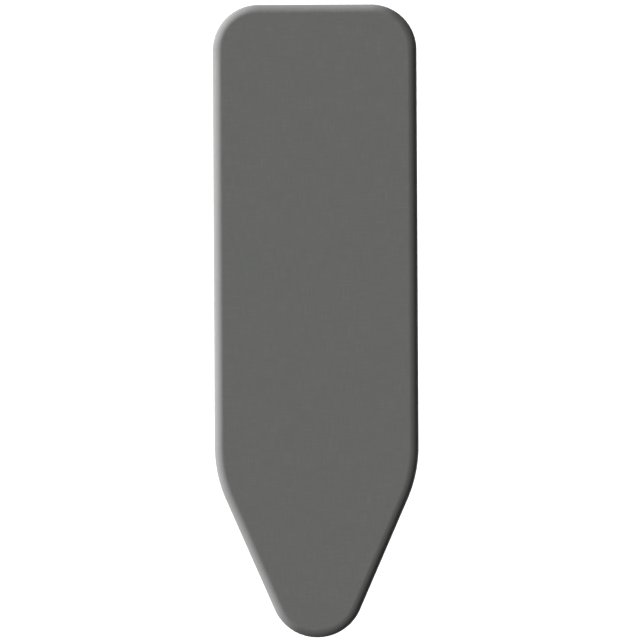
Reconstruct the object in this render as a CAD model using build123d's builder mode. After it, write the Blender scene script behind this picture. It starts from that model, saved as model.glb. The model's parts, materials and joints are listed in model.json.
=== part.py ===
"""Free-standing ironing board: a padded cover on a steel frame, scissor legs and a stepless height lock.

Frame: origin on the floor under the middle of the board, +Y along the board from nose to square end,
+X across it, +Z up. "left" pieces are at -X and "right" pieces at +X. It stands at its full height.
"""

from build123d import *
import os
from math import cos, radians, sin, tan

os.makedirs("parts", exist_ok=True)

SIDES = (("left", -1), ("right", 1))

# Board outline, measured over the cover
BOARD_LENGTH = 1204.0
BOARD_WIDTH = 388.0
END_CORNER_R = 87.0
SHOULDER_R = 251.0
SHOULDER_FROM_NOSE = 311.0  # where the sides' lines meet the taper's lines
TAPER = radians(23.6)  # between each side of the nose and the long axis

# Board section, from the top down
COVER_T = 1.0
PAD_T = 6.0
SHEET_T = 1.0
BRACE_T = 2.0
EDGE_TUBE_R = 8.0
EDGE_TUBE_BORE_R = 6.8
BOARD_T = 25.0  # from the cover's top to the underside of its turned-in hem
HEM_W = 30.0
HEM_CORNER_R = 9.0
ELASTIC_W = 6.0
ELASTIC_T = 2.0

# Steam holes in the top sheet
STEAM_HOLE_R = 7.0
STEAM_PITCH = 38.0
STEAM_MARGIN = 38.0

# Legs: both turn about axes along X
LEG_ANGLE = radians(52.0)
PIVOT_TO_CROSSING = 430.0
CROSSING_TO_FOOT = 655.0
PIVOT_Y = 390.0
PIVOT_DROP = 50.0  # from the cover's top down to the upper pivots
FOOT_AXIS_Z = 15.0
LEG_R = 11.0
LEG_BORE_R = 9.8
LEG_PAST_PIVOT = 14.0
OUTER_X = 112.0
INNER_X = 84.0
OUTER_FOOT_HALF = 165.0
INNER_FOOT_HALF = 175.0
CROSS_BAR_R = 8.0
CROSS_BAR_WALL = 1.2
COPE_REACH = 30.0
CROSS_BAR_BELOW = 300.0  # from the crossing, along the inner leg

# Foot caps and tube plugs
CAP_R = 16.0
CAP_COVERS = 36.0
CAP_END_T = 4.0
CAP_EDGE_R = 3.0
PLUG_T = 3.0
PLUG_DEPTH = 8.0
PLUG_STEM_R = 9.7

# Bolts and pins
BOLT_R = 4.0
RUNNING_FIT = 0.05
GAP = 0.4
NUT_R = 7.5
NUT_T = 6.5
BOLT_HEAD_T = 3.2
HEX_HEAD_T = 5.0
BOLT_PAST_BRACKET = 14.0
BOLT_PAST_NUT = 2.0
WASHER_R = 8.5
WASHER_T = 1.5

# Slider that carries the inner leg's upper pivot, and its guide rails
RAIL_X = 50.0
RAIL_W = 24.0
RAIL_H = 22.0
RAIL_T = 1.5
RAIL_SLOT = 10.0
RAIL_FRONT_Y = -508.0
RAIL_REAR_Y = -105.0
STOP_GAP = 1.0
BLOCK_HALF = 22.0
LUG_HALF = 14.0
LUG_W = 18.0
TOP_BAR_R = 6.0
PLATE_T = 3.0
PLATE_ABOVE_PIVOT = 1.0
TAB_HALF = 14.0
TAB_ABOVE_ROD = 9.0
SCREW_R = 2.0
SCREW_HEAD_T = 2.0

# Height lock
ROD_R = 5.0
ROD_DROP = 22.0  # from the cover's top down to the rod's axis
ROD_END_Y = 560.0
ROD_PAST_NUT = 3.0
ROD_NUT_R = 9.8
ROD_NUT_T = 7.0
ROD_CAP_R = 7.0
ROD_CAP_L = 12.0
ROD_CAP_END_T = 3.0
ROD_CAP_EDGE_R = 2.0
HOUSING_FRONT_Y = 142.0
HOUSING_REAR_Y = 214.0
HOUSING_LEFT_X = -40.0
HOUSING_RIGHT_X = 66.0
HOUSING_T = 2.5
HOUSING_H = 26.0
HOUSING_RIVETS_X = (-30.0, 34.0)
HOUSING_RIVETS_Y = (152.0, 204.0)
POST_T = 4.0
POST_W = 16.0
POST_SHORT = 4.0  # the post ends this far above the housing's lower edge
POST_GAP = 0.6
BUSH_R = 7.0
BUSH_FLANGE_R = 9.4
BUSH_FLANGE_T = 2.0
BUSH_PROUD = 2.0
CLAMP_X = -27.0
CLAMP_Y = 176.0
CLAMP_W = 60.0
CLAMP_H = 18.0
CLAMP_T = 4.0
CLAMP_TILT = radians(7.0)
CLAMP_HOLE_R = 5.9
SPRING_R = 7.9
SPRING_WIRE_R = 0.8
SPRING_TURNS = 6
SPRING_SEAT_GAP = 0.1
LEVER_PIN_X = 50.0
LEVER_PIN_Y = 194.0
LEVER_PIN_R = 3.0
PIN_HEAD_T = 2.0
LEVER_BELOW_ROD_AXIS = 1.0
LEVER_ANGLE = 21.8  # degrees from +X to the arm
LEVER_T = 3.0
LEVER_W = 14.0
LEVER_STEP_AT = 103.0
LEVER_STEP_DOWN = 8.0
LEVER_REACH = 146.0
GRIP_FROM = 109.0
GRIP_TO = 151.0
GRIP_W = 20.0
GRIP_H = 9.0
GRIP_CORNER_R = 7.0
GRIP_EDGE_R = 2.5
FINGER_CENTRE = (-20.0, -5.4)  # from the pin, in the board's own directions
FINGER_R = 3.0
FINGER_ROOT = ((-1.0, 5.0), (4.0, -5.0))  # where the finger's sides leave the arm, from the pin

# Fixed pivot brackets
BRACKET_X = 127.0
BRACKET_T = 3.0
BRACKET_HALF = 22.0
BRACKET_R = 14.0
FLANGE_W = 20.0
FLANGE_T = 2.5
RIVET_R = 2.5
RIVET_HEAD_R = 4.5
RIVET_HEAD_T = 1.6
BRACKET_RIVET_HALF = 14.0

# Worked-out places
edge_r = EDGE_TUBE_R + PAD_T + COVER_T
pivot_z = FOOT_AXIS_Z + (PIVOT_TO_CROSSING + CROSSING_TO_FOOT) * sin(LEG_ANGLE)
top_z = pivot_z + PIVOT_DROP
axis_z = top_z - edge_r
sheet_top_z = top_z - COVER_T - PAD_T
brace_top_z = sheet_top_z - SHEET_T
brace_low_z = brace_top_z - BRACE_T
hem_z = top_z - BOARD_T
rail_low_z = brace_low_z - RAIL_H
lug_top_z = rail_low_z - 1.5
rod_z = top_z - ROD_DROP

run = PIVOT_TO_CROSSING * cos(LEG_ANGLE)
outer_pivot = (PIVOT_Y, pivot_z)
crossing = (PIVOT_Y - run, pivot_z - PIVOT_TO_CROSSING * sin(LEG_ANGLE))
inner_pivot = (PIVOT_Y - 2 * run, pivot_z)
outer_foot = (crossing[0] - CROSSING_TO_FOOT * cos(LEG_ANGLE), FOOT_AXIS_Z)
inner_foot = (crossing[0] + CROSSING_TO_FOOT * cos(LEG_ANGLE), FOOT_AXIS_Z)
slider_y = inner_pivot[0]

shoulder_y = SHOULDER_FROM_NOSE - BOARD_LENGTH / 2
nose_r = (BOARD_WIDTH / 2 * cos(TAPER) - SHOULDER_FROM_NOSE * sin(TAPER)) / (1 - sin(TAPER))

# Each cross brace: its place along the board and its width
BRACES = {
    "nose": (-492.0, 28.0),
    "front": (-300.0, 28.0),
    "middle": (-120.0, 28.0),
    "lock": (178.0, 76.0),
    "pivot": (PIVOT_Y, 2 * BRACKET_HALF),
}
bracket_rivets = [
    (sign * (BRACKET_X + BRACKET_T + FLANGE_W / 2), PIVOT_Y + along)
    for _, sign in SIDES
    for along in (-BRACKET_RIVET_HALF, BRACKET_RIVET_HALF)
]
housing_rivets = [(x, y) for x in HOUSING_RIVETS_X for y in HOUSING_RIVETS_Y]


def board_outline(inset, mode=Mode.ADD):
    """Fills the board's outline, moved in by inset, in the sketch that is open."""
    with BuildLine() as edge:
        outline_wire(inset)
    make_face(edge.edges(), mode=mode)


def outline_wire(inset):
    """Draws the board's outline, moved in by inset, in the line that is open."""
    half = BOARD_WIDTH / 2 - inset
    end_y = BOARD_LENGTH / 2 - inset
    tip_y = shoulder_y - BOARD_WIDTH / 2 / tan(TAPER) + inset / sin(TAPER)
    side_y = tip_y + half / tan(TAPER)
    corners = ((-half, end_y), (half, end_y), (half, side_y), (0, tip_y), (-half, side_y))
    radii = (END_CORNER_R, END_CORNER_R, SHOULDER_R, nose_r, SHOULDER_R)
    FilletPolyline(*corners, radius=[r - inset for r in radii], close=True)


def slab(inset, low, high, top_r):
    """A board-shaped block with its top edge rounded."""
    with BuildPart() as block:
        with BuildSketch(Plane.XY.offset(low)):
            board_outline(inset)
        extrude(amount=high - low)
        fillet(block.edges().group_by(Axis.Z)[-1], top_r)
    return block.part


def edge_bar(radius):
    """A round bar along the middle line of the edge tube."""
    with BuildPart() as bar:
        with BuildLine(Plane.XY.offset(axis_z)) as path:
            outline_wire(edge_r)
        with BuildSketch(Plane(origin=path.line @ 0, z_dir=path.line % 0)):
            Circle(radius)
        sweep()
    return bar.part


def x_rod(x_from, x_to, place, radius, mode=Mode.ADD):
    """A round bar along X, at place (y, z), in the part that is open."""
    with BuildSketch(Plane.YZ.offset(min(x_from, x_to))) as section:
        with Locations(place):
            Circle(radius)
    extrude(section.sketch, amount=abs(x_to - x_from), mode=mode)


def x_nut(x_from, x_to, place):
    """A hexagon along X, at place (y, z), in the part that is open."""
    with BuildSketch(Plane.YZ.offset(min(x_from, x_to))) as section:
        with Locations(place):
            RegularPolygon(NUT_R, 6)
    extrude(section.sketch, amount=abs(x_to - x_from))


def z_rod(place, low, high, radius, mode=Mode.ADD):
    """An upright round bar at place (x, y), in the part that is open."""
    with BuildSketch(Plane.XY.offset(low)) as section:
        with Locations(place):
            Circle(radius)
    extrude(section.sketch, amount=high - low, mode=mode)


def y_rod(y_from, y_to, radius, mode=Mode.ADD):
    """A round bar along the lock rod's axis, in the part that is open."""
    with BuildSketch(Plane.XZ.offset(-y_to)) as section:
        with Locations((0, rod_z)):
            Circle(radius)
    extrude(section.sketch, amount=y_to - y_from, mode=mode)


edge_core = edge_bar(EDGE_TUBE_R)
edge_bore = edge_bar(EDGE_TUBE_BORE_R)

# ---- Board -------------------------------------------------------------------------------------------

with BuildPart() as cover_inside:
    add(slab(COVER_T, hem_z + COVER_T, top_z - COVER_T, edge_r - COVER_T))
    fillet(cover_inside.edges().group_by(Axis.Z)[0], HEM_CORNER_R - COVER_T)
with BuildPart() as cover:
    add(slab(0, hem_z, top_z, edge_r))
    fillet(cover.edges().group_by(Axis.Z)[0], HEM_CORNER_R)
    add(cover_inside.part, mode=Mode.SUBTRACT)
    with BuildSketch(Plane.XY.offset(hem_z)):
        board_outline(HEM_W)
    extrude(amount=COVER_T, mode=Mode.SUBTRACT)
cover.part.label = "cover"
export_step(cover.part, "parts/cover.step")

pad_inside = slab(COVER_T + PAD_T, axis_z - PAD_T, sheet_top_z, EDGE_TUBE_R)
with BuildPart() as foam_pad:
    add(slab(COVER_T, axis_z - PAD_T, top_z - COVER_T, edge_r - COVER_T))
    add(pad_inside, mode=Mode.SUBTRACT)
    split(bisect_by=Plane.XY.offset(axis_z), keep=Keep.TOP)
foam_pad.part.label = "foam_pad"
export_step(foam_pad.part, "parts/foam_pad.step")

with BuildPart() as hem_elastic:
    with BuildSketch(Plane.XY.offset(hem_z - ELASTIC_T)):
        board_outline(HEM_W - ELASTIC_W)
        board_outline(HEM_W, mode=Mode.SUBTRACT)
    extrude(amount=ELASTIC_T)
hem_elastic.part.label = "hem_elastic"
export_step(hem_elastic.part, "parts/hem_elastic.step")

with BuildPart() as edge_frame:
    add(edge_core)
    add(edge_bore, mode=Mode.SUBTRACT)
edge_frame.part.label = "edge_frame"
export_step(edge_frame.part, "parts/edge_frame.step")

holes_across = int(BOARD_WIDTH / STEAM_PITCH) - 1
holes_along = int(BOARD_LENGTH / STEAM_PITCH)
with BuildSketch() as steam_holes:
    with GridLocations(STEAM_PITCH, STEAM_PITCH, holes_across, holes_along):
        Circle(STEAM_HOLE_R)
    with GridLocations(STEAM_PITCH, STEAM_PITCH, holes_across - 1, holes_along - 1):
        Circle(STEAM_HOLE_R)
    board_outline(STEAM_MARGIN, mode=Mode.INTERSECT)
whole_holes = [face for face in steam_holes.sketch.faces() if len(face.edges()) == 1]

with BuildPart() as top_sheet:
    with BuildSketch(Plane.XY.offset(brace_top_z)):
        board_outline(edge_r)
        add(whole_holes, mode=Mode.SUBTRACT)
    extrude(amount=SHEET_T)
    add(edge_core, mode=Mode.SUBTRACT)
top_sheet.part.label = "top_sheet"
export_step(top_sheet.part, "parts/top_sheet.step")

for name, (along, width) in BRACES.items():
    with BuildPart() as brace:
        with BuildSketch(Plane.XY.offset(brace_low_z)):
            with Locations((0, along)):
                Rectangle(BOARD_WIDTH, width)
            board_outline(edge_r, mode=Mode.INTERSECT)
            with Locations(*bracket_rivets, *housing_rivets):
                Circle(RIVET_R, mode=Mode.SUBTRACT)
        extrude(amount=BRACE_T)
        add(edge_core, mode=Mode.SUBTRACT)
    brace.part.label = f"brace_{name}"
    export_step(brace.part, f"parts/brace_{name}.step")

for side, sign in SIDES:
    with BuildPart() as guide_rail:
        with BuildSketch(Plane.XZ.offset(-RAIL_REAR_Y)):
            with Locations((sign * RAIL_X, brace_low_z - RAIL_H / 2)):
                Rectangle(RAIL_W, RAIL_H)
                Rectangle(RAIL_W - 2 * RAIL_T, RAIL_H - 2 * RAIL_T, mode=Mode.SUBTRACT)
            with Locations((sign * RAIL_X, rail_low_z + RAIL_T / 2)):
                Rectangle(RAIL_SLOT, RAIL_T, mode=Mode.SUBTRACT)
        extrude(amount=RAIL_REAR_Y - RAIL_FRONT_Y)
    guide_rail.part.label = f"guide_rail_{side}"
    export_step(guide_rail.part, f"parts/guide_rail_{side}.step")

folded_y = PIVOT_Y - 2 * PIVOT_TO_CROSSING
rail_stop_spans = (
    (RAIL_FRONT_Y, folded_y - BLOCK_HALF - STOP_GAP),
    (slider_y + BLOCK_HALF + STOP_GAP, RAIL_REAR_Y),
)
with BuildPart() as rail_stops:
    for _, sign in SIDES:
        for front, rear in rail_stop_spans:
            with BuildSketch(Plane.XZ.offset(-rear)):
                with Locations((sign * RAIL_X, brace_low_z - RAIL_H / 2)):
                    Rectangle(RAIL_W - 2 * RAIL_T, RAIL_H - 2 * RAIL_T)
            extrude(amount=rear - front)
rail_stops.part.label = "rail_stops"
export_step(rail_stops.part, "parts/rail_stops.step")

for side, sign in SIDES:
    with BuildPart() as pivot_bracket:
        with BuildSketch(Plane.YZ.offset(min(sign * BRACKET_X, sign * (BRACKET_X + BRACKET_T)))):
            with BuildLine():
                Polyline(
                    (PIVOT_Y - BRACKET_HALF, brace_low_z),
                    (PIVOT_Y - BRACKET_HALF, brace_low_z - FLANGE_W),
                    (PIVOT_Y - BRACKET_R, pivot_z),
                )
                Line((PIVOT_Y - BRACKET_R, pivot_z), (PIVOT_Y + BRACKET_R, pivot_z))
                Polyline(
                    (PIVOT_Y + BRACKET_R, pivot_z),
                    (PIVOT_Y + BRACKET_HALF, brace_low_z - FLANGE_W),
                    (PIVOT_Y + BRACKET_HALF, brace_low_z),
                    (PIVOT_Y - BRACKET_HALF, brace_low_z),
                )
            make_face()
            with Locations(outer_pivot):
                Circle(BRACKET_R)
                Circle(BOLT_R, mode=Mode.SUBTRACT)
        extrude(amount=BRACKET_T)
        with BuildSketch(Plane.XY.offset(brace_low_z - FLANGE_T)):
            with Locations((sign * (BRACKET_X + BRACKET_T + FLANGE_W / 2), PIVOT_Y)):
                Rectangle(FLANGE_W, 2 * BRACKET_HALF)
            with Locations(*bracket_rivets):
                Circle(RIVET_R, mode=Mode.SUBTRACT)
        extrude(amount=FLANGE_T)
    pivot_bracket.part.label = f"pivot_bracket_{side}"
    export_step(pivot_bracket.part, f"parts/pivot_bracket_{side}.step")

bolt_seat = OUTER_X - LEG_R - GAP
bolt_end = BRACKET_X + BOLT_PAST_BRACKET
with BuildPart() as pivot_bolts:
    for _, sign in SIDES:
        x_rod(sign * bolt_seat, sign * bolt_end, outer_pivot, BOLT_R)
        x_rod(sign * (bolt_seat - BOLT_HEAD_T), sign * bolt_seat, outer_pivot, NUT_R)
pivot_bolts.part.label = "pivot_bolts"
export_step(pivot_bolts.part, "parts/pivot_bolts.step")

with BuildPart() as pivot_washers:
    for _, sign in SIDES:
        x_rod(sign * (OUTER_X + LEG_R + GAP), sign * BRACKET_X, outer_pivot, WASHER_R)
        x_rod(
            sign * (BRACKET_X + BRACKET_T),
            sign * (BRACKET_X + BRACKET_T + WASHER_T),
            outer_pivot,
            WASHER_R,
        )
        x_rod(sign * OUTER_X, sign * bolt_end, outer_pivot, BOLT_R, mode=Mode.SUBTRACT)
pivot_washers.part.label = "pivot_washers"
export_step(pivot_washers.part, "parts/pivot_washers.step")

with BuildPart() as pivot_nuts:
    for _, sign in SIDES:
        seat = BRACKET_X + BRACKET_T + WASHER_T
        x_nut(sign * seat, sign * (seat + NUT_T), outer_pivot)
        x_rod(sign * seat, sign * (seat + NUT_T), outer_pivot, BOLT_R, mode=Mode.SUBTRACT)
pivot_nuts.part.label = "pivot_nuts"
export_step(pivot_nuts.part, "parts/pivot_nuts.step")

with BuildPart() as clamp_housing:
    with BuildSketch(Plane.XY.offset(brace_low_z - HOUSING_T)):
        with Locations(((HOUSING_LEFT_X + HOUSING_RIGHT_X) / 2, (HOUSING_FRONT_Y + HOUSING_REAR_Y) / 2)):
            Rectangle(HOUSING_RIGHT_X - HOUSING_LEFT_X, HOUSING_REAR_Y - HOUSING_FRONT_Y)
        with Locations(*housing_rivets):
            Circle(RIVET_R, mode=Mode.SUBTRACT)
        with Locations((LEVER_PIN_X, LEVER_PIN_Y)):
            Circle(LEVER_PIN_R, mode=Mode.SUBTRACT)
    extrude(amount=HOUSING_T)
    for rear in (HOUSING_FRONT_Y + HOUSING_T, HOUSING_REAR_Y):
        with BuildSketch(Plane.XZ.offset(-rear)):
            with Locations((0, brace_low_z - HOUSING_H / 2)):
                Rectangle(-2 * HOUSING_LEFT_X, HOUSING_H)
            with Locations((0, rod_z)):
                Circle(BUSH_R, mode=Mode.SUBTRACT)
        extrude(amount=HOUSING_T)
    post_h = HOUSING_H - HOUSING_T - POST_SHORT
    with BuildSketch(Plane.XY.offset(brace_low_z - HOUSING_T - post_h)):
        with Locations((CLAMP_X - POST_GAP - POST_T / 2, CLAMP_Y)):
            Rectangle(POST_T, POST_W)
    extrude(amount=post_h)
clamp_housing.part.label = "clamp_housing"
export_step(clamp_housing.part, "parts/clamp_housing.step")

bush_faces = ((HOUSING_FRONT_Y + HOUSING_T, 1), (HOUSING_REAR_Y - HOUSING_T, -1))
with BuildPart() as rod_bushes:
    for face, inward in bush_faces:
        flange = sorted((face, face + inward * BUSH_FLANGE_T))
        body = sorted((face, face - inward * (HOUSING_T + BUSH_PROUD)))
        y_rod(*flange, BUSH_FLANGE_R)
        y_rod(*body, BUSH_R)
    y_rod(
        HOUSING_FRONT_Y - BUSH_PROUD, HOUSING_REAR_Y + BUSH_PROUD, ROD_R + RUNNING_FIT, mode=Mode.SUBTRACT
    )
rod_bushes.part.label = "rod_bushes"
export_step(rod_bushes.part, "parts/rod_bushes.step")

with BuildPart() as rivets:
    for place in bracket_rivets:
        z_rod(place, brace_low_z - FLANGE_T, brace_top_z, RIVET_R)
        z_rod(place, brace_low_z - FLANGE_T - RIVET_HEAD_T, brace_low_z - FLANGE_T, RIVET_HEAD_R)
    for place in housing_rivets:
        z_rod(place, brace_low_z - HOUSING_T, brace_top_z, RIVET_R)
        z_rod(place, brace_low_z - HOUSING_T - RIVET_HEAD_T, brace_low_z - HOUSING_T, RIVET_HEAD_R)
rivets.part.label = "rivets"
export_step(rivets.part, "parts/rivets.step")

# ---- Height lock -------------------------------------------------------------------------------------

lever_top_z = rod_z - LEVER_BELOW_ROD_AXIS
lever_low_z = lever_top_z - LEVER_T
lever_pin_place = (LEVER_PIN_X, LEVER_PIN_Y)
with BuildPart() as lever_pin:
    z_rod(lever_pin_place, lever_low_z - GAP, brace_low_z, LEVER_PIN_R)
    z_rod(lever_pin_place, lever_low_z - GAP - PIN_HEAD_T, lever_low_z - GAP, 2 * LEVER_PIN_R)
    z_rod(lever_pin_place, lever_top_z + GAP, brace_low_z - HOUSING_T, 2 * LEVER_PIN_R)
lever_pin.part.label = "lever_pin"
export_step(lever_pin.part, "parts/lever_pin.step")

lever_plane = Plane(origin=(LEVER_PIN_X, LEVER_PIN_Y, lever_top_z)).rotated((0, 0, LEVER_ANGLE))
finger_tip = (LEVER_PIN_X + FINGER_CENTRE[0], LEVER_PIN_Y + FINGER_CENTRE[1])
finger_root = [(LEVER_PIN_X + x, LEVER_PIN_Y + y) for x, y in FINGER_ROOT]
with BuildPart() as lever_arm:
    with BuildSketch(lever_plane.offset(-LEVER_T)):
        with Locations((LEVER_STEP_AT / 2, 0)):
            Rectangle(LEVER_STEP_AT, LEVER_W)
        Circle(LEVER_W / 2)
    extrude(amount=LEVER_T)
    with BuildSketch(lever_plane.offset(-LEVER_T - LEVER_STEP_DOWN)):
        with Locations((LEVER_STEP_AT + LEVER_T / 2, 0)):
            Rectangle(LEVER_T, LEVER_W)
    extrude(amount=LEVER_STEP_DOWN + LEVER_T)
    with BuildSketch(lever_plane.offset(-LEVER_T - LEVER_STEP_DOWN)):
        with Locations(((LEVER_STEP_AT + LEVER_REACH) / 2, 0)):
            Rectangle(LEVER_REACH - LEVER_STEP_AT, LEVER_W)
    extrude(amount=LEVER_T)
    with BuildSketch(Plane.XY.offset(lever_low_z)):
        with BuildLine():
            Polyline(
                (finger_tip[0], finger_tip[1] + FINGER_R),
                *finger_root,
                (finger_tip[0], finger_tip[1] - FINGER_R),
                close=True,
            )
        make_face()
        with Locations(finger_tip):
            Circle(FINGER_R)
    extrude(amount=LEVER_T)
    z_rod(
        lever_pin_place,
        lever_top_z - 2 * LEVER_T,
        lever_top_z + LEVER_T,
        LEVER_PIN_R + RUNNING_FIT,
        mode=Mode.SUBTRACT,
    )
lever_arm.part.label = "lever_arm"
export_step(lever_arm.part, "parts/lever_arm.step")

grip_mid = -LEVER_T / 2 - LEVER_STEP_DOWN
with BuildPart() as lever_grip:
    with BuildSketch(lever_plane.offset(grip_mid - GRIP_H / 2)):
        with Locations(((GRIP_FROM + GRIP_TO) / 2, 0)):
            RectangleRounded(GRIP_TO - GRIP_FROM, GRIP_W, GRIP_CORNER_R)
    extrude(amount=GRIP_H)
    fillet(lever_grip.edges().group_by(Axis.Z)[-1], GRIP_EDGE_R)
    fillet(lever_grip.edges().group_by(Axis.Z)[0], GRIP_EDGE_R)
    with BuildSketch(lever_plane.offset(-LEVER_T - LEVER_STEP_DOWN)):
        with Locations(((GRIP_FROM + LEVER_REACH) / 2, 0)):
            Rectangle(LEVER_REACH - GRIP_FROM, LEVER_W)
    extrude(amount=LEVER_T, mode=Mode.SUBTRACT)
lever_grip.part.label = "lever_grip"
export_step(lever_grip.part, "parts/lever_grip.step")

clamp_plane = Plane(
    origin=(CLAMP_X, CLAMP_Y, rod_z),
    x_dir=(cos(CLAMP_TILT), sin(CLAMP_TILT), 0),
    z_dir=(sin(CLAMP_TILT), -cos(CLAMP_TILT), 0),
)
with BuildPart() as clamp_plate:
    with BuildSketch(clamp_plane):
        with Locations((CLAMP_W / 2, 0)):
            Rectangle(CLAMP_W, CLAMP_H)
        with Locations((-CLAMP_X, 0)):
            Circle(CLAMP_HOLE_R, mode=Mode.SUBTRACT)
    extrude(amount=CLAMP_T / 2, both=True)
clamp_plate.part.label = "clamp_plate"
export_step(clamp_plate.part, "parts/clamp_plate.step")

spring_front = HOUSING_FRONT_Y + HOUSING_T + BUSH_FLANGE_T + SPRING_WIRE_R + SPRING_SEAT_GAP
spring_rear = CLAMP_Y - SPRING_WIRE_R - GAP
spring_length = spring_rear - spring_front
with BuildPart() as clamp_spring:
    with BuildLine() as coil:
        Helix(
            pitch=spring_length / SPRING_TURNS,
            height=spring_length,
            radius=SPRING_R,
            center=(0, spring_front, rod_z),
            direction=(0, 1, 0),
        )
    with BuildSketch(Plane(origin=coil.line @ 0, z_dir=coil.line % 0)):
        Circle(SPRING_WIRE_R)
    sweep(is_frenet=True)
clamp_spring.part.label = "clamp_spring"
export_step(clamp_spring.part, "parts/clamp_spring.step")

# ---- Outer leg, which hangs from the fixed pivot brackets ---------------------------------------------


def leg_tube(x, top, foot, cross_bolt_r, top_bolt_r):
    """A leg tube from just past its top pivot down to the foot bar, which it is coped round."""
    length = PIVOT_TO_CROSSING + CROSSING_TO_FOOT
    along = ((foot[0] - top[0]) / length, (foot[1] - top[1]) / length)
    start = (x, top[0] - along[0] * LEG_PAST_PIVOT, top[1] - along[1] * LEG_PAST_PIVOT)
    with BuildPart() as tube:
        with BuildSketch(Plane(origin=start, x_dir=(1, 0, 0), z_dir=(0, *along))):
            Circle(LEG_R)
            Circle(LEG_BORE_R, mode=Mode.SUBTRACT)
        extrude(amount=length + LEG_PAST_PIVOT)
        x_rod(x - LEG_R, x + LEG_R, foot, LEG_R, mode=Mode.SUBTRACT)
        x_rod(x - LEG_R, x + LEG_R, crossing, cross_bolt_r, mode=Mode.SUBTRACT)
        if top_bolt_r:
            x_rod(x - LEG_R, x + LEG_R, top, top_bolt_r, mode=Mode.SUBTRACT)
    return tube


def top_plugs(x, top, foot):
    """The two plastic plugs in the upper ends of a leg's tubes."""
    length = PIVOT_TO_CROSSING + CROSSING_TO_FOOT
    along = ((foot[0] - top[0]) / length, (foot[1] - top[1]) / length)
    with BuildPart() as plugs:
        for _, sign in SIDES:
            end = (sign * x, top[0] - along[0] * LEG_PAST_PIVOT, top[1] - along[1] * LEG_PAST_PIVOT)
            plane = Plane(origin=end, x_dir=(1, 0, 0), z_dir=(0, *along))
            with BuildSketch(plane):
                Circle(PLUG_STEM_R)
            extrude(amount=PLUG_DEPTH)
            with BuildSketch(plane):
                Circle(LEG_R)
            extrude(amount=-PLUG_T)
    return plugs


def foot_cap(sign, half, place):
    """A plastic sleeve over one end of a foot bar, flat where it stands on the floor."""
    start = sign * (half - CAP_COVERS)
    end = sign * (half + CAP_END_T)
    with BuildPart() as cap:
        x_rod(start, end, place, CAP_R)
        fillet(cap.edges().sort_by(Axis.X)[-1 if sign > 0 else 0], CAP_EDGE_R)
        x_rod(start, sign * half, place, LEG_R, mode=Mode.SUBTRACT)
        split(bisect_by=Plane.XY, keep=Keep.TOP)
    return cap


LEGS = (
    ("outer", OUTER_X, outer_pivot, outer_foot, BOLT_R, BOLT_R + RUNNING_FIT, OUTER_FOOT_HALF),
    ("inner", INNER_X, inner_pivot, inner_foot, BOLT_R + RUNNING_FIT, 0, INNER_FOOT_HALF),
)
for leg, leg_x, top, foot, cross_bolt_r, top_bolt_r, half in LEGS:
    for side, sign in SIDES:
        tube = leg_tube(sign * leg_x, top, foot, cross_bolt_r, top_bolt_r)
        tube.part.label = f"{leg}_tube_{side}"
        export_step(tube.part, f"parts/{leg}_tube_{side}.step")
        cap = foot_cap(sign, half, foot)
        cap.part.label = f"{leg}_foot_cap_{side}"
        export_step(cap.part, f"parts/{leg}_foot_cap_{side}.step")
    plugs = top_plugs(leg_x, top, foot)
    plugs.part.label = f"{leg}_top_plugs"
    export_step(plugs.part, f"parts/{leg}_top_plugs.step")
    with BuildPart() as foot_bar:
        x_rod(-half, half, foot, LEG_R)
        x_rod(-half, half, foot, LEG_BORE_R, mode=Mode.SUBTRACT)
    foot_bar.part.label = f"{leg}_foot_bar"
    export_step(foot_bar.part, f"parts/{leg}_foot_bar.step")

outer_face = OUTER_X + LEG_R
inner_face = INNER_X - LEG_R
cross_washer_x = inner_face - GAP
cross_nut_x = cross_washer_x - WASHER_T
with BuildPart() as cross_bolts:
    for _, sign in SIDES:
        head_seat = outer_face + WASHER_T
        x_rod(sign * (cross_nut_x - NUT_T - BOLT_PAST_NUT), sign * head_seat, crossing, BOLT_R)
        x_nut(sign * head_seat, sign * (head_seat + HEX_HEAD_T), crossing)
cross_bolts.part.label = "cross_bolts"
export_step(cross_bolts.part, "parts/cross_bolts.step")

with BuildPart() as cross_washers:
    for _, sign in SIDES:
        x_rod(sign * outer_face, sign * (outer_face + WASHER_T), crossing, WASHER_R)
        x_rod(sign * cross_nut_x, sign * cross_washer_x, crossing, WASHER_R)
        x_rod(sign * cross_nut_x, sign * (outer_face + WASHER_T), crossing, BOLT_R, mode=Mode.SUBTRACT)
cross_washers.part.label = "cross_washers"
export_step(cross_washers.part, "parts/cross_washers.step")

with BuildPart() as cross_spacers:
    for _, sign in SIDES:
        x_rod(sign * (INNER_X + LEG_R + GAP), sign * (OUTER_X - LEG_R), crossing, WASHER_R)
        x_rod(sign * INNER_X, sign * OUTER_X, crossing, BOLT_R, mode=Mode.SUBTRACT)
cross_spacers.part.label = "cross_spacers"
export_step(cross_spacers.part, "parts/cross_spacers.step")

with BuildPart() as cross_nuts:
    for _, sign in SIDES:
        x_nut(sign * (cross_nut_x - NUT_T), sign * cross_nut_x, crossing)
        x_rod(sign * (cross_nut_x - NUT_T), sign * cross_nut_x, crossing, BOLT_R, mode=Mode.SUBTRACT)
cross_nuts.part.label = "cross_nuts"
export_step(cross_nuts.part, "parts/cross_nuts.step")

# ---- Inner leg, whose top rides in the guide rails ----------------------------------------------------

length = PIVOT_TO_CROSSING + CROSSING_TO_FOOT
inner_along = ((inner_foot[0] - slider_y) / length, (FOOT_AXIS_Z - pivot_z) / length)


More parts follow.
